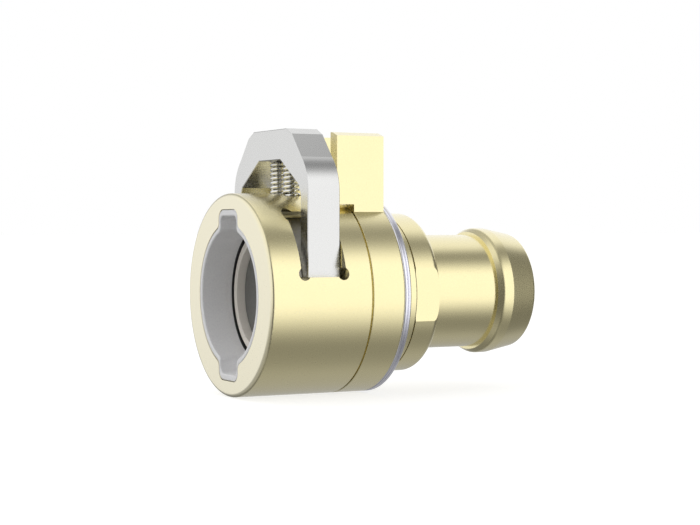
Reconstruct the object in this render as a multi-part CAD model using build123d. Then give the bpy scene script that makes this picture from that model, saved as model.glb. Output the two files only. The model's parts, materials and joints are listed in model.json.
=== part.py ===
from build123d import *
import os
from math import cos, radians, sin, sqrt

# Non-spill quick coupling with a press-down latch, millimetres.
# X runs along the flow, from the mouth face at x = 0 to the hose end at +X.
# Z points up to the latch, and the origin is the centre of the mouth face.

# Fits, as radial or side clearances
press_gap = 0.08
running_fit = 0.1
sliding_fit = 0.06
stop_gap = 0.02

# Front sleeve
body_wall = 5.93
sleeve_length = 18.15
mouth_rounding = 0.65
seam_chamfer = 0.1
seam_groove_width = 0.25
seam_groove_depth = 0.6
pocket_skin = 1.15

# Plug socket: a round bore with a key slot above and below
plug_bore_radius = 11.07
bush_wall = 0.88
bush_length = 4.5
lip_rounding = 0.25
bush_edge_break = 0.15
key_half_width = 3.3
key_side_wall = 0.5
key_depth = 2.13
key_end_wall = 1.05
key_corner_rounding = 1.1
key_neck_rounding = 1.0

# Guide tube behind the bush
guide_relief = 0.18
guide_groove_lead = 0.13
guide_groove_width = 1.1
guide_groove_depth = 0.7
valve_stop_step = 0.2
guide_wall = 1.5
leg_seat_wall = 0.25

# Latch fork: a plate that straddles the sleeve
catch_x = 10.55
fork_thickness = 5.85
leg_width = 2.65
crown_clearance = 5.55
crown_height = 5.1
crown_half_width = 6.4
crown_bevel_width = 2.0
crown_bevel_drop = 0.95
shoulder_inset = 2.55
shoulder_drop = 4.85
leg_arc_drop = 10.65
crown_inner_half_width = 4.15
haunch_inset = 0.7
haunch_drop = 4.35
haunch_leg_drop = 5.95
fork_edge_break = 0.12
latch_stroke = 3.0

# Catch pins in the fork's legs
catch_radius = 1.0
catch_z = -1.85
catch_bite = 0.47
leg_foot_drop = 2.05
leg_foot_bevel_width = 1.25
leg_foot_bevel_height = 2.5

# Side windows of the sleeve
window_lead = 2.12
window_floor = 3.3
window_headroom = 0.95
window_relief_radius = 1.05
window_relief_inset = 0.55
rear_web = 1.05

# Latch springs
latch_spring_offset = 2.52
latch_spring_radius = 1.2
latch_wire = 0.54
latch_spring_pitch = 0.765
latch_spring_seat_wall = 1.0
latch_seat_depth = 3.45
latch_seat_gap = 0.15

# Sliding valve sleeve
valve_setback = 5.8
nose_play = 0.57
nose_length = 1.6
valve_lip_wall = 1.2
valve_travel = 7.5
valve_flange_length = 4.9
valve_tube_wall = 1.1
valve_tube_length = 9.2
valve_lip_length = 3.9
valve_cone_length = 1.0
valve_notch_depth = 0.15

# Fixed poppet and its stem
poppet_setback = 1.3
poppet_length = 2.5
poppet_cone_length = 3.6
poppet_face_chamfer = 0.25
stem_radius = 2.4
stem_thread_radius = 1.5
stem_thread_overhang = 0.2

# Stem carrier
carrier_wall = 1.8
carrier_flange_length = 2.5
carrier_clear_of_cone = 0.2
hub_radius = 3.2
hub_length = 3.0
hub_setback = 0.5
web_thickness = 1.2
web_count = 3
nut_across_flats = 5.5
nut_height = 2.4
washer_radius = 3.0
washer_thickness = 0.5

# Valve spring, between the valve's tube and the guide
valve_spring_room = 1.45
valve_wire = 0.9
valve_spring_turns = 8

# Seals: wire radius of each ring, and its gap to the wall that it meets
seal_gap = 0.02
poppet_seal_radius = 0.55
carrier_seal_radius = 0.47
carrier_flange_seal_radius = 0.55
tail_seal_radius = 0.33
seal_groove_play = 0.1
carrier_seal_land = 0.9
flange_seal_land = 0.6
backup_ring_width = 0.35
tail_seal_land = 1.8

# Guard collar
collar_length = 6.1
collar_bore_step = 0.15
collar_thread_wall = 2.25
collar_socket_depth = 6.97
collar_neck_inset = 3.25
collar_neck_wall = 1.0
collar_neck_length = 4.3
collar_neck_rounding = 0.25

# Guard: two upright walls either side of the latch
guard_half_width = 9.8
guard_wall = 2.35
guard_height = 10.15
guard_bevel_width = 1.8
guard_bevel_height = 0.6
guard_gap_to_fork = 1.9
guard_rear_inset = 0.08
guard_notch_length = 0.42
guard_notch_height = 1.26
guard_clear_of_sleeve = 0.3

# Band snapped behind the collar
band_width = 1.3
band_seat_depth = 0.4
band_groove_width = 0.3
band_groove_depth = 0.3
band_edge_rounding = 0.3

# Hose tail
tail_flange_length = 4.75
tail_flange_rounding = 1.2
tail_seam = 0.05
wrench_flat_depth = 0.75
tail_spring_play = 0.175
tail_spigot_end_gap = 0.2
tail_floor_setback = 1.27
tail_bore_radius = 7.25
shank_radius = 10.0
shank_length = 13.35
bead_radius = 11.18
bead_step_height = 0.5
bead_ramp_length = 1.05
bead_crest_length = 1.8
bead_cone_length = 5.3
bead_tip_radius = 10.15
bead_tip_rounding = 0.7
bead_front_rounding = 1.2
bead_crest_rounding = 0.6

# Radii that follow
body_radius = plug_bore_radius + body_wall
bush_outer_radius = plug_bore_radius + bush_wall
key_reach = plug_bore_radius + key_depth
guide_land_radius = plug_bore_radius + guide_relief
guide_bore_radius = guide_land_radius + valve_stop_step
guide_outer_radius = guide_bore_radius + guide_wall
guide_pocket_radius = guide_outer_radius + running_fit
leg_flat = guide_bore_radius + leg_seat_wall
leg_inner = leg_flat + running_fit
leg_outer = leg_inner + leg_width
pocket_outer = leg_outer + running_fit
pocket_limit_radius = body_radius - pocket_skin
nose_radius = plug_bore_radius - nose_play
valve_flange_radius = guide_bore_radius - sliding_fit
valve_tube_outer_radius = guide_bore_radius - valve_spring_room
valve_tube_inner_radius = valve_tube_outer_radius - valve_tube_wall
valve_spring_radius = guide_bore_radius - valve_spring_room / 2
lip_radius = nose_radius - valve_lip_wall
poppet_radius = lip_radius - 2 * running_fit
collar_bore_radius = guide_bore_radius + collar_bore_step
collar_neck_radius = body_radius - collar_neck_inset
collar_socket_radius = collar_neck_radius - collar_neck_wall
collar_spigot_radius = collar_socket_radius + collar_thread_wall - running_fit
tail_spigot_radius = collar_socket_radius - sliding_fit
tail_seat_radius = valve_spring_radius + valve_wire / 2 + tail_spring_play
tail_flange_radius = collar_neck_radius
wrench_half_width = tail_flange_radius - wrench_flat_depth
carrier_radius = valve_tube_inner_radius - running_fit
carrier_bore_radius = carrier_radius - carrier_wall
carrier_flange_radius = tail_seat_radius - running_fit
catch_inner = plug_bore_radius - catch_bite
valve_notch = catch_inner - valve_notch_depth

# Places along the flow
fork_front = catch_x - fork_thickness / 2
fork_rear = catch_x + fork_thickness / 2
window_front = fork_front - window_lead
window_rear = fork_rear + running_fit
spigot_start = window_rear + rear_web
valve_stop_x = valve_setback + nose_length - stop_gap
guide_groove_start = valve_setback - guide_groove_lead
guide_groove_end = guide_groove_start + guide_groove_width
valve_flange_front = valve_setback + nose_length
valve_flange_rear = valve_flange_front + valve_flange_length
valve_tube_end = valve_flange_rear + valve_tube_length
lip_end = valve_setback + valve_lip_length
cone_end = lip_end + valve_cone_length
poppet_face = valve_setback + poppet_setback
carrier_front = cone_end + valve_travel + carrier_clear_of_cone
seam_end = sleeve_length + seam_groove_width
collar_end = sleeve_length + collar_length
band_end = collar_end + band_width
neck_end = collar_end + collar_neck_length
tail_flange_start = neck_end + tail_seam
tail_flange_end = tail_flange_start + tail_flange_length
tail_floor = tail_flange_end - tail_floor_setback
socket_floor = neck_end - collar_socket_depth
carrier_flange_front = tail_floor - carrier_flange_length
hub_rear = carrier_flange_front - hub_setback
hub_front = hub_rear - hub_length
shank_end = tail_flange_end + shank_length
bead_top_start = shank_end + bead_ramp_length
bead_top_end = bead_top_start + bead_crest_length
tail_end = bead_top_end + bead_cone_length

# Heights
window_top = guide_outer_radius + window_headroom
latch_spring_floor = window_top + latch_spring_seat_wall
crown_under = body_radius + crown_clearance
fork_top = crown_under + crown_height
latch_spring_ceiling = crown_under + latch_seat_depth
leg_foot = catch_z - leg_foot_drop
pocket_floor = leg_foot - latch_stroke - 2 * running_fit
latch_seat_radius = latch_spring_radius + latch_wire / 2 + latch_seat_gap
guard_top = body_radius + guard_height


def turned(outline, rounds=()):
    """A closed outline of (x, radius) points, turned about the flow axis.

    rounds gives (point, radius) for each corner of the outline that is rounded.
    """
    profile = make_face(Polyline(*outline, close=True))
    for corner, radius in rounds:
        vertex = profile.vertices().sort_by_distance((*corner, 0))[0]
        profile = fillet(vertex, radius)
    return revolve(profile, Axis.X)


def tube(start, end, outer_radius, inner_radius):
    """A plain ring or tube along the flow."""
    outline = [(start, inner_radius), (start, outer_radius), (end, outer_radius), (end, inner_radius)]
    return turned(outline)


def bar(start, end, radius):
    """A round bar on the flow axis."""
    return Pos((start + end) / 2, 0, 0) * Rot(0, 90, 0) * Cylinder(radius, end - start)


def block(x_range, y_range, z_range):
    """A box between two corners."""
    sizes = [high - low for low, high in (x_range, y_range, z_range)]
    centre = [(high + low) / 2 for low, high in (x_range, y_range, z_range)]
    return Pos(*centre) * Box(*sizes)


def cross_pin(x, z, radius, y_range):
    """A round bar that runs across the coupling."""
    length = y_range[1] - y_range[0]
    middle = (y_range[0] + y_range[1]) / 2
    return Pos(x, middle, z) * Rot(90, 0, 0) * Cylinder(radius, length)


def side_range(side, near, far):
    """The y range from near to far on one side, with side -1 or 1."""
    return tuple(sorted((side * near, side * far)))


def seal_ring(x, middle_radius, wire_radius):
    """A round-section ring about the flow axis."""
    return Pos(x, 0, 0) * Rot(0, 90, 0) * Torus(middle_radius, wire_radius)


def keyed_outline(radius, half_width, reach, corner, neck):
    """A circle with a key slot above and below, on the mouth's plane."""
    outline = Sketch() + Circle(radius) + Rectangle(2 * half_width, 2 * reach)
    corner_points = outline.vertices().sort_by(lambda v: sqrt(v.X**2 + v.Y**2))
    outline = fillet(corner_points[-4:], corner)
    neck_y = sqrt(radius**2 - half_width**2)
    for side in (-1, 1):
        for end in (-1, 1):
            point = (side * half_width, end * neck_y, 0)
            outline = fillet(outline.vertices().sort_by_distance(point)[0], neck)
    return Plane.YZ * outline


def coil(radius, wire, turns, length):
    """A round-wire helix standing on z = 0, its wire inside that length."""
    rise = length - wire
    path = Helix(pitch=rise / turns, height=rise, radius=radius)
    section = Plane(origin=path @ 0, z_dir=path % 0) * Circle(wire / 2)
    return Pos(0, 0, wire / 2) * sweep(section, path=path, is_frenet=True)


def front_sleeve():
    outline = [(0, 0), (0, body_radius), (sleeve_length, body_radius), (sleeve_length, 0)]
    body = turned(outline, [((0, body_radius), mouth_rounding)])
    body = chamfer(body.edges().filter_by(GeomType.CIRCLE).sort_by(Axis.X)[-1], seam_chamfer)
    mouth = keyed_outline(
        bush_outer_radius + press_gap,
        key_half_width + key_side_wall + press_gap,
        key_reach + key_end_wall + press_gap,
        key_corner_rounding + key_side_wall + press_gap,
        key_neck_rounding,
    )
    body -= extrude(mouth, bush_length)
    body -= bar(bush_length, spigot_start, guide_pocket_radius)
    body -= bar(spigot_start, sleeve_length, collar_spigot_radius + running_fit)
    window_x = (window_front, window_rear)
    full_width = (-body_radius, body_radius)
    body -= block(window_x, full_width, (window_floor, window_top))
    relief_z = (window_floor + window_relief_inset, window_top - window_relief_inset)
    relief_x = (window_front + window_relief_inset, window_rear - window_relief_inset)
    for x in relief_x:
        for z in relief_z:
            body -= cross_pin(x, z, window_relief_radius, full_width)
    pocket_x = (fork_front - running_fit, window_rear)
    skin_limit = bar(*pocket_x, pocket_limit_radius)
    for side in (-1, 1):
        pocket = block(pocket_x, side_range(side, catch_inner, pocket_outer), (pocket_floor, window_floor))
        body -= pocket & skin_limit
        seat = Pos(catch_x, side * latch_spring_offset, latch_spring_floor)
        seat_depth = body_radius - latch_spring_floor
        body -= seat * Cylinder(latch_seat_radius, seat_depth, align=(Align.CENTER, Align.CENTER, Align.MIN))
    return body


def key_bush():
    body = extrude(
        keyed_outline(
            bush_outer_radius,
            key_half_width + key_side_wall,
            key_reach + key_end_wall,
            key_corner_rounding + key_side_wall,
            key_neck_rounding,
        ),
        bush_length,
    )
    opening = keyed_outline(
        plug_bore_radius, key_half_width, key_reach, key_corner_rounding, key_neck_rounding
    )
    body -= extrude(opening, bush_length)
    front = body.faces().sort_by(Axis.X)[0]
    lip = front.inner_wires()[0]
    body = fillet(lip.edges(), lip_rounding)
    front = body.faces().sort_by(Axis.X)[0]
    return chamfer(front.outer_wire().edges(), bush_edge_break)


def guide_tube():
    body = turned(
        [
            (bush_length, guide_land_radius),
            (bush_length, guide_outer_radius),
            (spigot_start - stop_gap, guide_outer_radius),
            (spigot_start - stop_gap, guide_bore_radius),
            (valve_stop_x, guide_bore_radius),
            (valve_stop_x, guide_land_radius),
            (guide_groove_end, guide_land_radius),
            (guide_groove_end, guide_land_radius + guide_groove_depth),
            (guide_groove_start, guide_land_radius + guide_groove_depth),
            (guide_groove_start, guide_land_radius),
        ]
    )
    slot_half = catch_radius + 1.5 * running_fit
    slot_top = catch_z
    slot_bottom = catch_z - latch_stroke - running_fit
    leg_x = (fork_front - running_fit, window_rear)
    for side in (-1, 1):
        flat_y = side_range(side, leg_flat, body_radius)
        body -= block(leg_x, flat_y, (-guide_outer_radius, guide_outer_radius))
        slot_y = side_range(side, plug_bore_radius / 2, body_radius)
        body -= block((catch_x - slot_half, catch_x + slot_half), slot_y, (slot_bottom, slot_top))
        for z in (slot_bottom, slot_top):
            body -= cross_pin(catch_x, z, slot_half, slot_y)
    return body


def fork_outline():
    """Half of the fork plate, from its mid-line out to one leg, as (y, z)."""
    shoulder = (leg_outer - shoulder_inset, fork_top - shoulder_drop)
    arc_foot = (leg_outer, fork_top - leg_arc_drop)
    bevel_foot = (crown_half_width + crown_bevel_width, fork_top - crown_bevel_drop)
    outside = Polyline((0, fork_top), (crown_half_width, fork_top), bevel_foot, shoulder)
    arc = TangentArc(arc_foot, shoulder, tangent=(0, 1))
    inside = Polyline(
        arc_foot,
        (leg_outer, leg_foot + leg_foot_bevel_height),
        (leg_outer - leg_foot_bevel_width, leg_foot),
        (leg_inner, leg_foot),
        (leg_inner, crown_under - haunch_leg_drop),
        (leg_inner - haunch_inset, crown_under - haunch_drop),
        (crown_inner_half_width, crown_under),
        (0, crown_under),
        (0, fork_top),
    )
    return make_face(outside + arc + inside)


def latch_fork():
    half = fork_outline()
    plate_face = half + mirror(half, Plane.YZ)
    body = Pos(fork_front, 0, 0) * extrude(Plane.YZ * plate_face, fork_thickness)
    end_faces = body.faces().sort_by(Axis.X)
    body = chamfer(end_faces[0].edges() + end_faces[-1].edges(), fork_edge_break)
    for side in (-1, 1):
        seat = Pos(catch_x, side * latch_spring_offset, 0)
        seat_height = latch_spring_ceiling
        body -= seat * Cylinder(latch_seat_radius, seat_height, align=(Align.CENTER, Align.CENTER, Align.MIN))
        hole_y = side_range(side, leg_inner - leg_width, leg_outer + leg_width)
        body -= cross_pin(catch_x, catch_z, catch_radius, hole_y)
    return body


def latch_catch(side):
    lowest = catch_z - latch_stroke - catch_radius
    catch_outer = sqrt((pocket_limit_radius - running_fit) ** 2 - lowest**2)
    pin_y = side_range(side, catch_inner, min(catch_outer, leg_outer - stop_gap))
    pin = cross_pin(catch_x, catch_z, catch_radius - stop_gap, pin_y)
    inner_end = pin.faces().filter_by(GeomType.PLANE).sort_by(Axis.Y)[0 if side > 0 else -1]
    return chamfer(inner_end.edges(), catch_radius / 4)


def latch_spring(side):
    length = latch_spring_ceiling - latch_spring_floor - 2 * stop_gap
    turns = (length - latch_wire) / latch_spring_pitch
    seat = Pos(catch_x, side * latch_spring_offset, latch_spring_floor + stop_gap)
    return seat * coil(latch_spring_radius, latch_wire, turns, length)


def valve_sleeve():
    body = turned(
        [
            (valve_setback, lip_radius),
            (valve_setback, nose_radius),
            (valve_flange_front, nose_radius),
            (valve_flange_front, valve_flange_radius),
            (valve_flange_rear, valve_flange_radius),
            (valve_flange_rear, valve_tube_outer_radius),
            (valve_tube_end, valve_tube_outer_radius),
            (valve_tube_end, valve_tube_inner_radius),
            (cone_end, valve_tube_inner_radius),
            (lip_end, lip_radius),
        ]
    )
    notch_x = (valve_flange_front, valve_flange_rear)
    notch_play = 1.5 * running_fit
    notch_z = (catch_z - latch_stroke - catch_radius - notch_play, catch_z + catch_radius + notch_play)
    for side in (-1, 1):
        body -= block(notch_x, side_range(side, valve_notch, body_radius), notch_z)
    return body


def valve_spring():
    length = carrier_flange_front - valve_flange_rear - 2 * stop_gap
    spring = coil(valve_spring_radius, valve_wire, valve_spring_turns, length)
    return Pos(valve_flange_rear + stop_gap, 0, 0) * Rot(0, 90, 0) * spring


def seal_groove(start, wire_radius, outer_radius, extra=0.0):
    """The ring-shaped cut that holds a seal, and the x of the seal in it."""
    width = 2 * (wire_radius + seal_groove_play) + extra
    floor = outer_radius - 2 * wire_radius - seal_gap
    cut = tube(start, start + width, outer_radius + 1, floor)
    return cut, start + wire_radius + seal_groove_play


poppet_seal_cut, poppet_seal_x = seal_groove(
    poppet_face + poppet_seal_radius, poppet_seal_radius, lip_radius - seal_gap
)
carrier_seal_cut, carrier_seal_x = seal_groove(
    carrier_front + carrier_seal_land,
    carrier_seal_radius,
    valve_tube_inner_radius - seal_gap,
    backup_ring_width + seal_groove_play,
)
flange_seal_cut, flange_seal_x = seal_groove(
    carrier_flange_front + flange_seal_land, carrier_flange_seal_radius, tail_seat_radius - seal_gap
)
tail_seal_cut, tail_seal_x = seal_groove(
    socket_floor + tail_seal_land, tail_seal_radius, collar_socket_radius - seal_gap
)


def poppet_stem():
    thread_end = hub_rear + washer_thickness + nut_height + stem_thread_overhang
    poppet_rear = poppet_face + poppet_length
    body = turned(
        [
            (poppet_face, 0),
            (poppet_face, poppet_radius - poppet_face_chamfer),
            (poppet_face + poppet_face_chamfer, poppet_radius),
            (poppet_rear, poppet_radius),
            (poppet_rear + poppet_cone_length, stem_radius),
            (hub_front - stop_gap, stem_radius),
            (hub_front - stop_gap, stem_thread_radius),
            (thread_end, stem_thread_radius),
            (thread_end, 0),
        ]
    )
    return body - poppet_seal_cut


def stem_carrier():
    body = turned(
        [
            (carrier_front, carrier_bore_radius),
            (carrier_front, carrier_radius),
            (carrier_flange_front, carrier_radius),
            (carrier_flange_front, carrier_flange_radius),
            (tail_floor - stop_gap, carrier_flange_radius),
            (tail_floor - stop_gap, carrier_bore_radius),
        ]
    )
    web_height = carrier_bore_radius + carrier_wall / 2
    for number in range(web_count):
        web = block((hub_front, hub_rear), (-web_thickness / 2, web_thickness / 2), (0, web_height))
        body += Rot(360 / web_count * number, 0, 0) * web
    body += bar(hub_front, hub_rear, hub_radius)
    body -= bar(hub_front, hub_rear, stem_thread_radius + running_fit)
    return body - carrier_seal_cut - flange_seal_cut


def stem_washer():
    return tube(hub_rear, hub_rear + washer_thickness - stop_gap, washer_radius, stem_thread_radius + running_fit)


def stem_nut():
    start = hub_rear + washer_thickness
    hexagon = Plane.YZ.offset(start) * RegularPolygon(nut_across_flats / 2, 6, major_radius=False)
    return extrude(hexagon, nut_height) - bar(start, start + nut_height, stem_thread_radius + stop_gap)


def carrier_backup_ring():
    start = carrier_seal_x + carrier_seal_radius + seal_groove_play
    floor = valve_tube_inner_radius - 2 * (carrier_seal_radius + seal_gap)
    return tube(start, start + backup_ring_width, carrier_radius, floor + seal_gap)


def guard_wall_outline():
    """Section of one guard wall, as (y, z), from inside the collar to its top."""
    root = sqrt(body_radius**2 - guard_half_width**2) - guard_wall / 2
    inner = guard_half_width - guard_wall
    points = [
        (inner, root),
        (guard_half_width, root),
        (guard_half_width, guard_top - guard_bevel_height),
        (guard_half_width - guard_bevel_width, guard_top),
        (inner, guard_top),
    ]
    return make_face(Polyline(*points, close=True))


def guard_collar():
    body = turned(
        [
            (spigot_start, collar_bore_radius),
            (spigot_start, collar_spigot_radius),
            (sleeve_length, collar_spigot_radius),
            (sleeve_length, body_radius - seam_groove_depth),
            (seam_end, body_radius - seam_groove_depth),
            (seam_end, body_radius),
            (collar_end, body_radius),
            (collar_end, collar_neck_radius - band_seat_depth),
            (band_end + stop_gap, collar_neck_radius - band_seat_depth),
            (band_end + stop_gap, collar_neck_radius),
            (neck_end, collar_neck_radius),
            (neck_end, collar_socket_radius),
            (socket_floor, collar_socket_radius),
            (socket_floor, collar_bore_radius),
        ],
        [
            ((seam_end, body_radius), seam_chamfer),
            ((collar_end, body_radius), 2 * seam_chamfer),
            ((neck_end, collar_neck_radius), collar_neck_rounding),
        ],
    )
    guard_front = fork_rear + guard_gap_to_fork
    guard_length = collar_end - guard_rear_inset - guard_front
    notch_end = sleeve_length + guard_notch_length
    notch_z = sqrt(body_radius**2 - guard_half_width**2) + guard_notch_height
    section = guard_wall_outline()
    walls = section + mirror(section, Plane.YZ)
    guard = Pos(guard_front, 0, 0) * extrude(Plane.YZ * walls, guard_length)
    guard -= block((0, notch_end), (-body_radius, body_radius), (0, notch_z))
    guard -= bar(0, notch_end, body_radius + guard_clear_of_sleeve)
    return body + guard


def rear_band():
    middle = collar_end + band_width / 2
    inner = collar_neck_radius - band_seat_depth + running_fit
    outline = [
        (collar_end, inner),
        (collar_end, body_radius),
        (middle - band_groove_width / 2, body_radius),
        (middle, body_radius - band_groove_depth),
        (middle + band_groove_width / 2, body_radius),
        (band_end, body_radius),
        (band_end, inner),
    ]
    rounds = [((x, body_radius), band_edge_rounding) for x in (collar_end, band_end)]
    return turned(outline, rounds)


def hose_tail():
    body = turned(
        [
            (socket_floor + tail_spigot_end_gap, tail_seat_radius),
            (socket_floor + tail_spigot_end_gap, tail_spigot_radius),
            (tail_flange_start, tail_spigot_radius),
            (tail_flange_start, tail_flange_radius),
            (tail_flange_end, tail_flange_radius),
            (tail_flange_end, shank_radius),
            (shank_end, shank_radius),
            (shank_end, shank_radius + bead_step_height),
            (bead_top_start, bead_radius),
            (bead_top_end, bead_radius),
            (tail_end, bead_tip_radius),
            (tail_end, tail_bore_radius),
            (tail_floor, tail_bore_radius),
            (tail_floor, tail_seat_radius),
        ],
        [
            ((tail_flange_end, tail_flange_radius), tail_flange_rounding),
            ((bead_top_start, bead_radius), bead_front_rounding),
            ((bead_top_end, bead_radius), bead_crest_rounding),
            ((tail_end, bead_tip_radius), bead_tip_rounding),
        ],
    )
    for side in (-1, 1):
        flat_y = side_range(side, wrench_half_width, tail_flange_radius + tail_flange_rounding)
        flat_z = (-tail_flange_radius, tail_flange_radius)
        body -= block((tail_flange_start, tail_flange_end), flat_y, flat_z)
    return body - tail_seal_cut


pieces = {
    "front_sleeve": front_sleeve(),
    "key_bush": key_bush(),
    "guide_tube": guide_tube(),
    "guard_collar": guard_collar(),
    "rear_band": rear_band(),
    "hose_tail": hose_tail(),
    "latch_fork": latch_fork(),
    "latch_catch_left": latch_catch(1),
    "latch_catch_right": latch_catch(-1),
    "latch_spring_left": latch_spring(1),
    "latch_spring_right": latch_spring(-1),
    "valve_sleeve": valve_sleeve(),
    "valve_spring": valve_spring(),
    "stem_carrier": stem_carrier(),
    "poppet_stem": poppet_stem(),
    "stem_washer": stem_washer(),
    "stem_nut": stem_nut(),
    "poppet_seal": seal_ring(
        poppet_seal_x, lip_radius - 2 * seal_gap - poppet_seal_radius, poppet_seal_radius - seal_gap / 2
    ),
    "carrier_seal": seal_ring(
        carrier_seal_x,
        valve_tube_inner_radius - 2 * seal_gap - carrier_seal_radius,
        carrier_seal_radius - seal_gap / 2,
    ),
    "carrier_backup_ring": carrier_backup_ring(),
    "carrier_flange_seal": seal_ring(
        flange_seal_x,
        tail_seat_radius - 2 * seal_gap - carrier_flange_seal_radius,
        carrier_flange_seal_radius - seal_gap / 2,
    ),
    "tail_seal": seal_ring(
        tail_seal_x, collar_socket_radius - 2 * seal_gap - tail_seal_radius, tail_seal_radius - seal_gap / 2
    ),
}

os.makedirs("parts", exist_ok=True)
for name, piece in pieces.items():
    export_step(piece, f"parts/{name}.step")
    print(name, round(piece.volume, 1), "mm3")
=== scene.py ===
import json
import math

import bpy
import numpy as np
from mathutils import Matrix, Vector


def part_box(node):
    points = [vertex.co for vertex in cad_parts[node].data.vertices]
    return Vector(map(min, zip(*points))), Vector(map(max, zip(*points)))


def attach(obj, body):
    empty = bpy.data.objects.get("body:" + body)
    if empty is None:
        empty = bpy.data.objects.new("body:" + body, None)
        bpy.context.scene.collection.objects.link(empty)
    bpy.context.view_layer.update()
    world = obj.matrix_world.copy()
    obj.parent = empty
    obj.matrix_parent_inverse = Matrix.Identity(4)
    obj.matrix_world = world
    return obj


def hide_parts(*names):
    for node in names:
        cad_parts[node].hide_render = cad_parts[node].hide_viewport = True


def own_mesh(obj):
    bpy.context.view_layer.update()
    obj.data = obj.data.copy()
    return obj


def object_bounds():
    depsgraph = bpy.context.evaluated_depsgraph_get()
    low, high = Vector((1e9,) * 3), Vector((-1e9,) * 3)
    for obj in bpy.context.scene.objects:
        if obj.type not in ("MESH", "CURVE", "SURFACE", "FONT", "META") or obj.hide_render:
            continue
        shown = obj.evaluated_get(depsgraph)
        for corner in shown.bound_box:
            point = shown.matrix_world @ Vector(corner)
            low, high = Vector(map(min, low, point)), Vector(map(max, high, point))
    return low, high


# Quick coupling lying on a pale floor, in metres.
# X runs along the flow from the mouth, Z points up to the latch.

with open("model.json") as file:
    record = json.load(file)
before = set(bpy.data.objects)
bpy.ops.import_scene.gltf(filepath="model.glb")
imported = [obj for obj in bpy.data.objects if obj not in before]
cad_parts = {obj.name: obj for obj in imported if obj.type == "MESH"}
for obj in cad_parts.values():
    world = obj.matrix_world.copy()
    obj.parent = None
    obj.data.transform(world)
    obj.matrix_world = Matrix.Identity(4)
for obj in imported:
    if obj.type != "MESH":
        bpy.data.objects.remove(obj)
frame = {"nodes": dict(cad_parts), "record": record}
cadBox = [list(corner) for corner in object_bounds()]
nodes = frame["nodes"]
print("frame loaded:", len(nodes), "pieces")


# Shader helpers

noiseLow, noiseHigh = 0.3, 0.7  # nearly all of a noise lies between these


def toLinear(hexColour):
    # sRGB hex to linear: c / 12.92 below 0.04045, else ((c + 0.055) / 1.055) ** 2.4
    srgb = [int(hexColour[i:i + 2], 16) / 255 for i in (1, 3, 5)]
    linear = [c / 12.92 if c <= 0.04045 else ((c + 0.055) / 1.055) ** 2.4 for c in srgb]
    return (*linear, 1.0)


def addNode(tree, kind, settings=None, inputs=None):
    # one node; an input is a plain value, or (node, output) for a link
    node = tree.nodes.new(kind)
    for name, value in (settings or {}).items():
        setattr(node, name, value)
    for name, value in (inputs or {}).items():
        if isinstance(value, tuple) and isinstance(value[0], bpy.types.Node):
            tree.links.new(value[0].outputs[value[1]], node.inputs[name])
        else:
            node.inputs[name].default_value = value
    return node


def newMaterial(name):
    material = bpy.data.materials.new(name)
    material.use_nodes = True
    material.node_tree.nodes.clear()
    return material, material.node_tree


def finishMaterial(tree, surface):
    output = addNode(tree, "ShaderNodeOutputMaterial")
    tree.links.new(surface.outputs[0], output.inputs["Surface"])


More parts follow.
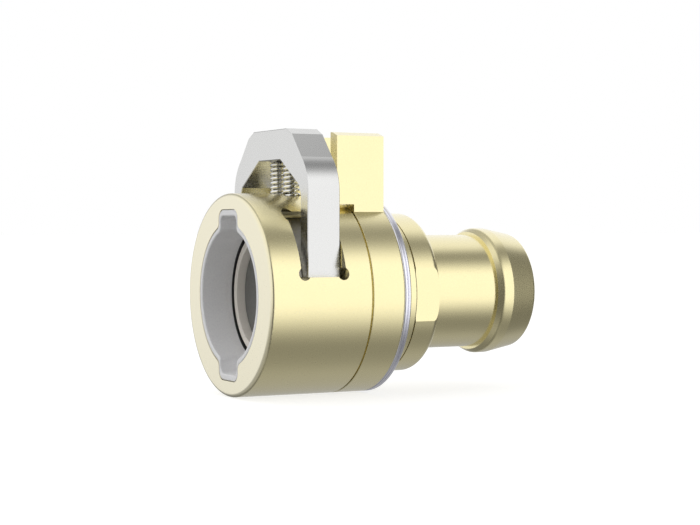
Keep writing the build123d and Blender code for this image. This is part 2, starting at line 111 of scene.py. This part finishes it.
def blastedMetal(name, look):
    # Bead-blasted metal: a fine even grain breaks the reflection and shifts the tone a little.
    # The real dimples are about 0.08 mm; grainSize is drawn coarser so that it shows.
    material, tree = newMaterial(name)
    place = addNode(tree, "ShaderNodeTexCoord")
    grain = addNode(tree, "ShaderNodeTexNoise", None, {
        "Vector": (place, "Object"), "Scale": 1 / look["grainSize"], "Detail": 3.0, "Roughness": 0.6})
    cloud = addNode(tree, "ShaderNodeTexNoise", None, {
        "Vector": (place, "Object"), "Scale": 1 / look["cloudSize"], "Detail": 2.0})
    tone = addNode(tree, "ShaderNodeMapRange", None, {
        "Value": (grain, 0), "From Min": noiseLow, "From Max": noiseHigh,
        "To Min": 0.0, "To Max": look["grainTone"]})
    shade = addNode(tree, "ShaderNodeMapRange", None, {
        "Value": (cloud, 0), "From Min": noiseLow, "From Max": noiseHigh,
        "To Min": 0.0, "To Max": look["cloudTone"]})
    share = addNode(tree, "ShaderNodeMath", {"operation": "ADD"}, {0: (tone, 0), 1: (shade, 0)})
    colour = addNode(tree, "ShaderNodeMix", {"data_type": "RGBA"}, {
        0: (share, 0), 6: toLinear(look["colour"]), 7: toLinear(look["deepColour"])})
    if "faceSheenColour" in look:
        # the mouth face is painted paler, a painted sheen for the white reflection it shows: 1 at x = 0,
        # none at the sheen depth set in the look
        axes = addNode(tree, "ShaderNodeSeparateXYZ", None, {0: (place, "Object")})
        sheenShare = addNode(tree, "ShaderNodeMapRange", None, {
            "Value": (axes, "X"), "From Min": 0.0, "From Max": look["faceSheenDepth"],
            "To Min": 1.0, "To Max": 0.0})
        colour = addNode(tree, "ShaderNodeMix", {"data_type": "RGBA"}, {
            0: (sheenShare, 0), 6: (colour, 2), 7: toLinear(look["faceSheenColour"])})
    if "grooveShadeColour" in look:
        # the groove band is painted dark, a painted shade for the dark gap in the recess: 1 where |x -
        # grooveMiddle| < grooveHalf
        axes = addNode(tree, "ShaderNodeSeparateXYZ", None, {0: (place, "Object")})
        offset = addNode(tree, "ShaderNodeMath", {"operation": "SUBTRACT"}, {
            0: (axes, "X"), 1: look["grooveMiddle"]})
        reach = addNode(tree, "ShaderNodeMath", {"operation": "ABSOLUTE"}, {0: (offset, 0)})
        dark = addNode(tree, "ShaderNodeMath", {"operation": "LESS_THAN"}, {
            0: (reach, 0), 1: look["grooveHalf"]})
        colour = addNode(tree, "ShaderNodeMix", {"data_type": "RGBA"}, {
            0: (dark, 0), 6: (colour, 2), 7: toLinear(look["grooveShadeColour"])})
    rough = addNode(tree, "ShaderNodeMapRange", None, {
        "Value": (grain, 0), "From Min": noiseLow, "From Max": noiseHigh,
        "To Min": look["roughness"] - look["roughnessSpread"],
        "To Max": look["roughness"] + look["roughnessSpread"]})
    bump = addNode(tree, "ShaderNodeBump", None, {
        "Height": (grain, 0), "Strength": look["grainStrength"], "Distance": look["grainDepth"]})
    shader = addNode(tree, "ShaderNodeBsdfPrincipled", None, {
        "Base Color": (colour, 2), "Metallic": look.get("metallic", 1.0), "Roughness": (rough, 0),
        "Coat Weight": look.get("coat", 0.0), "Coat Roughness": look.get("coatRoughness", 0.0),
        "Coat IOR": look.get("coatIor", 1.5), "Normal": (bump, 0)})
    finishMaterial(tree, shader)
    return material


def turnedMetal(name, look):
    # Lathe-turned metal: fine rings about the flow axis, from noise read at (x, radius).
    # radius = sqrt(y * y + z * z), so the rings run round a shank and over a face alike.
    material, tree = newMaterial(name)
    place = addNode(tree, "ShaderNodeTexCoord")
    axes = addNode(tree, "ShaderNodeSeparateXYZ", None, {0: (place, "Object")})
    across = addNode(tree, "ShaderNodeCombineXYZ", None, {"X": (axes, "Y"), "Y": (axes, "Z")})
    radius = addNode(tree, "ShaderNodeVectorMath", {"operation": "LENGTH"}, {0: (across, 0)})
    ringPlace = addNode(tree, "ShaderNodeCombineXYZ", None, {"X": (axes, "X"), "Y": (radius, "Value")})
    rings = addNode(tree, "ShaderNodeTexNoise", None, {
        "Vector": (ringPlace, 0), "Scale": 1 / look["ringPitch"], "Detail": 2.0})
    grain = addNode(tree, "ShaderNodeTexNoise", None, {
        "Vector": (place, "Object"), "Scale": 1 / look["grainSize"], "Detail": 2.0})
    share = addNode(tree, "ShaderNodeMapRange", None, {
        "Value": (grain, 0), "From Min": noiseLow, "From Max": noiseHigh,
        "To Min": 0.0, "To Max": look["grainTone"]})
    colour = addNode(tree, "ShaderNodeMix", {"data_type": "RGBA"}, {
        0: (share, 0), 6: toLinear(look["colour"]), 7: toLinear(look["deepColour"])})
    rough = addNode(tree, "ShaderNodeMapRange", None, {
        "Value": (rings, 0), "From Min": noiseLow, "From Max": noiseHigh,
        "To Min": look["roughness"] - look["roughnessSpread"],
        "To Max": look["roughness"] + look["roughnessSpread"]})
    bump = addNode(tree, "ShaderNodeBump", None, {
        "Height": (rings, 0), "Strength": look["ringStrength"], "Distance": look["ringDepth"]})
    shader = addNode(tree, "ShaderNodeBsdfPrincipled", None, {
        "Base Color": (colour, 2), "Metallic": look.get("metallic", 1.0), "Roughness": (rough, 0),
        "Normal": (bump, 0)})
    finishMaterial(tree, shader)
    return material


def mouldedSeal(name, look):
    # Moulded rubber or machined plastic: no metal, a soft sheen and a slight mottle.
    material, tree = newMaterial(name)
    place = addNode(tree, "ShaderNodeTexCoord")
    mottle = addNode(tree, "ShaderNodeTexNoise", None, {
        "Vector": (place, "Object"), "Scale": 1 / look["mottleSize"], "Detail": 3.0})
    share = addNode(tree, "ShaderNodeMapRange", None, {
        "Value": (mottle, 0), "From Min": noiseLow, "From Max": noiseHigh, "To Min": 0.0, "To Max": 1.0})
    colour = addNode(tree, "ShaderNodeMix", {"data_type": "RGBA"}, {
        0: (share, 0), 6: toLinear(look["colour"]), 7: toLinear(look["deepColour"])})
    rough = addNode(tree, "ShaderNodeMapRange", None, {
        "Value": (mottle, 0), "From Min": noiseLow, "From Max": noiseHigh,
        "To Min": look["roughness"] - look["roughnessSpread"],
        "To Max": look["roughness"] + look["roughnessSpread"]})
    bump = addNode(tree, "ShaderNodeBump", None, {
        "Height": (mottle, 0), "Strength": look["mottleStrength"], "Distance": look["mottleDepth"]})
    shader = addNode(tree, "ShaderNodeBsdfPrincipled", None, {
        "Base Color": (colour, 2), "Metallic": 0.0, "IOR": look["ior"],
        "Roughness": (rough, 0), "Normal": (bump, 0)})
    finishMaterial(tree, shader)
    return material


# Finishes: colours as sRGB hex, sizes in metres

chromatedAluminium = {  # aluminium, finely blasted, yellow chromated and sealed: pale gold, satin
    # the pale face colour is a painted sheen, drawn on the mouth face for the white reflection it shows
    "colour": "#F3E8B4", "deepColour": "#E6DAA5", "faceSheenColour": "#F0E9CB",
    "roughness": 0.26, "roughnessSpread": 0.02, "coat": 1.0, "coatIor": 1.6, "coatRoughness": 0.25,
    "grainSize": 0.00025, "grainTone": 0.14, "grainStrength": 0.02, "grainDepth": 0.00001,
    "cloudSize": 0.006, "cloudTone": 0.12,
    "faceSheenDepth": 0.0006,
}
blastedSteel = {  # steel bush and guide, blasted and pale; nearly no metal sheen is left to see
    "colour": "#FFFFFF", "deepColour": "#F0F0F3", "metallic": 0.05,
    # the dark groove colour is painted shade, for the dark gap where the bore wall ends
    "grooveShadeColour": "#4A4A4A", "grooveMiddle": 0.00633, "grooveHalf": 0.00045,
    "roughness": 0.50, "roughnessSpread": 0.05,
    "grainSize": 0.00025, "grainTone": 0.8, "grainStrength": 0.30, "grainDepth": 0.00003,
    "cloudSize": 0.005, "cloudTone": 0.2,
}
satinSteel = {  # stainless steel plate of the latch, tumbled to a soft satin
    "colour": "#DADAD9", "deepColour": "#D2D2D0",
    "roughness": 0.27, "roughnessSpread": 0.01,
    "grainSize": 0.00025, "grainTone": 0.08, "grainStrength": 0.01, "grainDepth": 0.00001,
    "cloudSize": 0.006, "cloudTone": 0.15,
}
bandSteel = {  # stainless band, turned and polished: a bluish white
    "colour": "#EDEDF4", "deepColour": "#DADAE4",
    "roughness": 0.20, "roughnessSpread": 0.03,
    "ringPitch": 0.00012, "ringStrength": 0.10, "ringDepth": 0.00001,
    "grainSize": 0.0003, "grainTone": 0.3,
}
pinSteel = {  # hardened pins, washer and nut, ground bright
    "colour": "#D8D8D8", "deepColour": "#BDBDBF",
    "roughness": 0.22, "roughnessSpread": 0.04,
    "ringPitch": 0.00015, "ringStrength": 0.10, "ringDepth": 0.00001,
    "grainSize": 0.0003, "grainTone": 0.4,
}
valveSteel = {  # sliding valve sleeve and carrier: stainless, turned matt, a warm grey
    "colour": "#FBF5EB", "deepColour": "#F0E9DE", "metallic": 0.05,
    "roughness": 0.45, "roughnessSpread": 0.05,
    "ringPitch": 0.00018, "ringStrength": 0.20, "ringDepth": 0.00002,
    "grainSize": 0.0003, "grainTone": 0.4,
}
poppetSteel = {  # poppet: darker turned steel
    "colour": "#7A7A77", "deepColour": "#666663", "metallic": 0.3,
    "roughness": 0.40, "roughnessSpread": 0.05,
    "ringPitch": 0.00018, "ringStrength": 0.20, "ringDepth": 0.00002,
    "grainSize": 0.0003, "grainTone": 0.5,
}
springWire = {  # drawn spring wire, bright
    "colour": "#EDEDEC", "deepColour": "#D6D6D4",
    "roughness": 0.12, "roughnessSpread": 0.03,
    "grainSize": 0.0004, "grainTone": 0.4, "grainStrength": 0.05, "grainDepth": 0.00001,
    "cloudSize": 0.003, "cloudTone": 0.2,
}
sealRubber = {  # nitrile rubber, moulded
    "colour": "#1C1C1D", "deepColour": "#121213", "ior": 1.52,
    "roughness": 0.45, "roughnessSpread": 0.05,
    "mottleSize": 0.0004, "mottleStrength": 0.15, "mottleDepth": 0.00002,
}
ringPlastic = {  # back-up ring of filled fluoropolymer
    "colour": "#E2DFD6", "deepColour": "#D4D0C5", "ior": 1.38,
    "roughness": 0.40, "roughnessSpread": 0.05,
    "mottleSize": 0.0004, "mottleStrength": 0.15, "mottleDepth": 0.00002,
}

materials = {
    "gold_metal": blastedMetal("chromatedAluminium", chromatedAluminium),
    "steel_bush": blastedMetal("blastedSteel", blastedSteel),
    "satin_steel": blastedMetal("satinSteel", satinSteel),
    "spring_wire": blastedMetal("springWire", springWire),
    "steel_band": turnedMetal("bandSteel", bandSteel),
    "steel_pin": turnedMetal("pinSteel", pinSteel),
    "valve_metal": turnedMetal("valveSteel", valveSteel),
    "poppet_metal": turnedMetal("poppetSteel", poppetSteel),
    "seal_rubber": mouldedSeal("sealRubber", sealRubber),
    "backup_plastic": mouldedSeal("ringPlastic", ringPlastic),
}
print("materials made:", len(materials))

for part in frame["record"]["subparts"]:
    mesh = nodes[part["node"]].data
    mesh.materials.clear()
    mesh.materials.append(materials[part["material_slot"]])


# Springs

latchSpring = {"wire": 0.00054, "pitch": 0.000765, "closedTurns": 0.5, "startAngle": 200.0}
valveSpring = {"wire": 0.0009, "pitch": 0.0021, "closedTurns": 0.9, "startAngle": 90.0}
wireGrid = {"perTurn": 40, "around": 14}


def gridMesh(name, points, slot, closeAround=True):
    # points[i, j] is a grid; quads join its neighbours, and j wraps round
    rows, columns = points.shape[:2]
    i, j = np.meshgrid(np.arange(rows - 1), np.arange(columns), indexing="ij")
    k = (j + 1) % columns
    here, beyond = i * columns, (i + 1) * columns
    quads = np.stack([here + j, beyond + j, beyond + k, here + k], -1)
    mesh = bpy.data.meshes.new(name)
    caps = [list(range(columns)), list(range((rows - 1) * columns, rows * columns))[::-1]]
    mesh.from_pydata(points.reshape(-1, 3).tolist(), [], quads.reshape(-1, 4).tolist() + caps)
    mesh.polygons.foreach_set("use_smooth", np.ones(len(mesh.polygons), bool))
    mesh.materials.append(materials[slot])
    mesh.update()
    piece = bpy.data.objects.new(name, mesh)
    bpy.context.scene.collection.objects.link(piece)
    return piece


def coilSpring(name, node, look, along):
    # Centre line: radius * (cos a, sin a), rising by the wire's own size per turn in the closed
    # end turns and evenly between them. Tube: a circle of the wire about that line, across it.
    low, high = (np.array(corner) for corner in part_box(node))
    axis = "xyz".index(along)
    across = [a for a in (1, 2, 0) if a != axis] if along == "x" else [0, 1]
    middle = (low + high) / 2
    wire = look["wire"]
    coilRadius = (high[across[0]] - low[across[0]]) / 2 - wire / 2
    height = high[axis] - low[axis] - wire
    closedRise = look["closedTurns"] * wire
    openTurns = (height - 2 * closedRise) / look["pitch"]
    turns = openTurns + 2 * look["closedTurns"]
    t = np.linspace(0, turns, int(turns * wireGrid["perTurn"]))
    stops = [0, look["closedTurns"], turns - look["closedTurns"], turns]
    rise = np.interp(t, stops, [0, closedRise, height - closedRise, height])
    angle = 2 * np.pi * t + math.radians(look["startAngle"])
    line = np.zeros((len(t), 3))
    line[:, across[0]] = middle[across[0]] + coilRadius * np.cos(angle)
    line[:, across[1]] = middle[across[1]] + coilRadius * np.sin(angle)
    line[:, axis] = low[axis] + wire / 2 + rise
    tangent = np.gradient(line, axis=0)
    tangent /= np.linalg.norm(tangent, axis=1, keepdims=True)
    outward = np.zeros_like(line)
    outward[:, across[0]] = np.cos(angle)
    outward[:, across[1]] = np.sin(angle)
    side = np.cross(tangent, outward)
    turn = np.linspace(0, 2 * np.pi, wireGrid["around"], endpoint=False)
    circle = np.cos(turn)[None, :, None] * outward[:, None] + np.sin(turn)[None, :, None] * side[:, None]
    points = line[:, None] + wire / 2 * circle
    piece = gridMesh(name, points, "spring_wire")
    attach(piece, "root")
    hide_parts(node)
    anchor = middle.copy()
    anchor[axis] = high[axis] if along == "x" else low[axis]
    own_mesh(piece)
    return piece


coilSpring("latchCoilLeft", "latch_spring_left", latchSpring, "z")
coilSpring("latchCoilRight", "latch_spring_right", latchSpring, "z")
coilSpring("valveCoil", "valve_spring", valveSpring, "x")
print("springs wound")


# Floor, light and camera

floorLook = {"radius": 6.0, "gap": 0.0001, "colour": "#B9B9B8", "cameraShare": 0.75, "roughness": 0.9}
# Directions are unit vectors in the room; each edge is a (start, end) pair of a smooth step.
studio = {
    "backWay": (-0.5, 0.866, 0.0), "backEdge": (-0.42, -0.05),
    "gapLeft": (-0.32, -0.18), "gapRight": (0.34, 0.2), "gapDepth": 0.5,
    "floorEdge": (-0.4, 0.0), "floorLevel": 0.42, "backLevel": 1.02,
    "frontLevel": 0.12, "frontRise": 0.24, "riseEdge": (-0.5, -0.1),
    "keyWay": (0.47, -0.883, 0.0), "keySide": (0.883, 0.47, 0.0), "keyLevel": 1.15,
    "keyFront": (0.0, 0.3), "keyLeft": (-0.68, -0.38), "keyRight": (0.45, 0.28),
    "keyLow": (-0.8, -0.15), "keyHigh": (0.86, 0.52),
}
cameraLook = {
    "target": (0.02302, 0.0, 0.00524), "azimuth": -28.08, "elevation": 1.187,
    "distance": 0.2859, "lens": 85.0, "sensor": 36.0, "clipStart": 0.01,
}


def pointAt(azimuth, elevation, distance):
    # azimuth 0 is the -Y side and turns towards +X; elevation is above the floor
    a, e = math.radians(azimuth), math.radians(elevation)
    return distance * np.array([math.sin(a) * math.cos(e), -math.cos(a) * math.cos(e), math.sin(e)])


def aim(item, fromPoint, toPoint):
    # the item's own -Z looks at the point, with +Z of the room upwards
    direction = Vector(toPoint) - Vector(fromPoint)
    item.location = fromPoint
    item.rotation_euler = direction.to_track_quat("-Z", "Y").to_euler()


def makeFloor():
    height = cadBox[0][2] - floorLook["gap"]
    size = floorLook["radius"]
    corners = [
        (-size, -size, height), (size, -size, height),
        (size, size, height), (-size, size, height)]
    mesh = bpy.data.meshes.new("floor")
    mesh.from_pydata(corners, [], [(0, 1, 2, 3)])
    floor = bpy.data.objects.new("floor", mesh)
    bpy.context.scene.collection.objects.link(floor)
    material, tree = newMaterial("paleFloor")
    path = addNode(tree, "ShaderNodeLightPath")
    paint = addNode(tree, "ShaderNodeBsdfDiffuse", None, {"Color": toLinear(floorLook["colour"])})
    glow = addNode(tree, "ShaderNodeEmission", None, {"Color": (1, 1, 1, 1), "Strength": 1.0})
    share = addNode(tree, "ShaderNodeMath", {"operation": "MULTIPLY"}, {
        0: (path, "Is Camera Ray"), 1: floorLook["cameraShare"]})
    nothing = addNode(tree, "ShaderNodeEmission", None, {"Strength": 0.0})
    lit = addNode(tree, "ShaderNodeMixShader", None, {0: (share, 0), 1: (nothing, 0), 2: (glow, 0)})
    solid = addNode(tree, "ShaderNodeAddShader", None, {0: (paint, 0), 1: (lit, 0)})
    clear = addNode(tree, "ShaderNodeBsdfTransparent")
    finishMaterial(tree, addNode(tree, "ShaderNodeMixShader", None, {
        0: (path, "Is Glossy Ray"), 1: (solid, 0), 2: (clear, 0)}))
    mesh.materials.append(material)


def makeStudio():
    # Light by direction d: level = front + (back - front) * b + keyLevel * k, where
    # front = frontLevel + frontRise * dz^2 on the key's side, a smooth step of d . keySide,
    # back runs from floorLevel up to backLevel with dz,
    # b is a smooth step of d . backWay, and k is a soft-edged panel round keyWay. The back has a
    # dark upright gap round dx = 0, between its two panels, which draws the turned edges.
    world = bpy.data.worlds.new("studio")
    bpy.context.scene.world = world
    world.use_nodes = True
    tree = world.node_tree
    tree.nodes.clear()
    place = addNode(tree, "ShaderNodeTexCoord")
    axes = addNode(tree, "ShaderNodeSeparateXYZ", None, {0: (place, "Generated")})

    def along(way):
        return (addNode(tree, "ShaderNodeVectorMath", {"operation": "DOT_PRODUCT"}, {
            0: (place, "Generated"), 1: way}), "Value")

    def step(value, edge, low=0.0, high=1.0):
        return (addNode(tree, "ShaderNodeMapRange", {"interpolation_type": "SMOOTHSTEP"}, {
            "Value": value, "From Min": min(edge), "From Max": max(edge),
            "To Min": low if edge[0] < edge[1] else high,
            "To Max": high if edge[0] < edge[1] else low}), 0)

    def combine(operation, a, b, c=0.0):
        return (addNode(tree, "ShaderNodeMath", {"operation": operation}, {0: a, 1: b, 2: c}), 0)

    height = (axes, "Z")
    side = along(studio["keySide"])
    rise = combine("MULTIPLY", combine("MULTIPLY", height, height), step(side, studio["riseEdge"]))
    front = combine("MULTIPLY_ADD", rise, studio["frontRise"], studio["frontLevel"])
    back = step(height, studio["floorEdge"], studio["floorLevel"], studio["backLevel"])
    turn = step(along(studio["backWay"]), studio["backEdge"])
    room = combine("MULTIPLY_ADD", combine("SUBTRACT", back, front), turn, front)
    across = (axes, "X")
    gap = combine("MULTIPLY", step(across, studio["gapLeft"]), step(across, studio["gapRight"]))
    gap = combine("MULTIPLY", combine("MULTIPLY", gap, turn), studio["gapDepth"])
    room = combine("MULTIPLY", room, combine("SUBTRACT", 1.0, gap))
    panel = step(along(studio["keyWay"]), studio["keyFront"])
    for value, edge in (
            (side, "keyLeft"), (side, "keyRight"),
            (height, "keyLow"), (height, "keyHigh")):
        panel = combine("MULTIPLY", panel, step(value, studio[edge]))
    level = combine("MULTIPLY_ADD", panel, studio["keyLevel"], room)
    path = addNode(tree, "ShaderNodeLightPath")
    lit = addNode(tree, "ShaderNodeBackground", None, {"Color": (1, 1, 1, 1), "Strength": level})
    backdrop = addNode(tree, "ShaderNodeBackground", None, {"Color": (1, 1, 1, 1), "Strength": 1.0})
    mixed = addNode(tree, "ShaderNodeMixShader", None, {
        0: (path, "Is Camera Ray"), 1: (lit, 0), 2: (backdrop, 0)})
    output = addNode(tree, "ShaderNodeOutputWorld")
    tree.links.new(mixed.outputs[0], output.inputs["Surface"])


def makeCamera():
    data = bpy.data.cameras.new("camera")
    data.lens = cameraLook["lens"]
    data.sensor_width = cameraLook["sensor"]
    data.clip_start = cameraLook["clipStart"]
    camera = bpy.data.objects.new("camera", data)
    bpy.context.scene.collection.objects.link(camera)
    target = np.array(cameraLook["target"])
    place = target + pointAt(cameraLook["azimuth"], cameraLook["elevation"], cameraLook["distance"])
    aim(camera, place, target)
    bpy.context.scene.camera = camera


makeFloor()
makeStudio()
makeCamera()
bpy.context.scene.view_settings.view_transform = "Standard"
print("floor, light and camera placed")
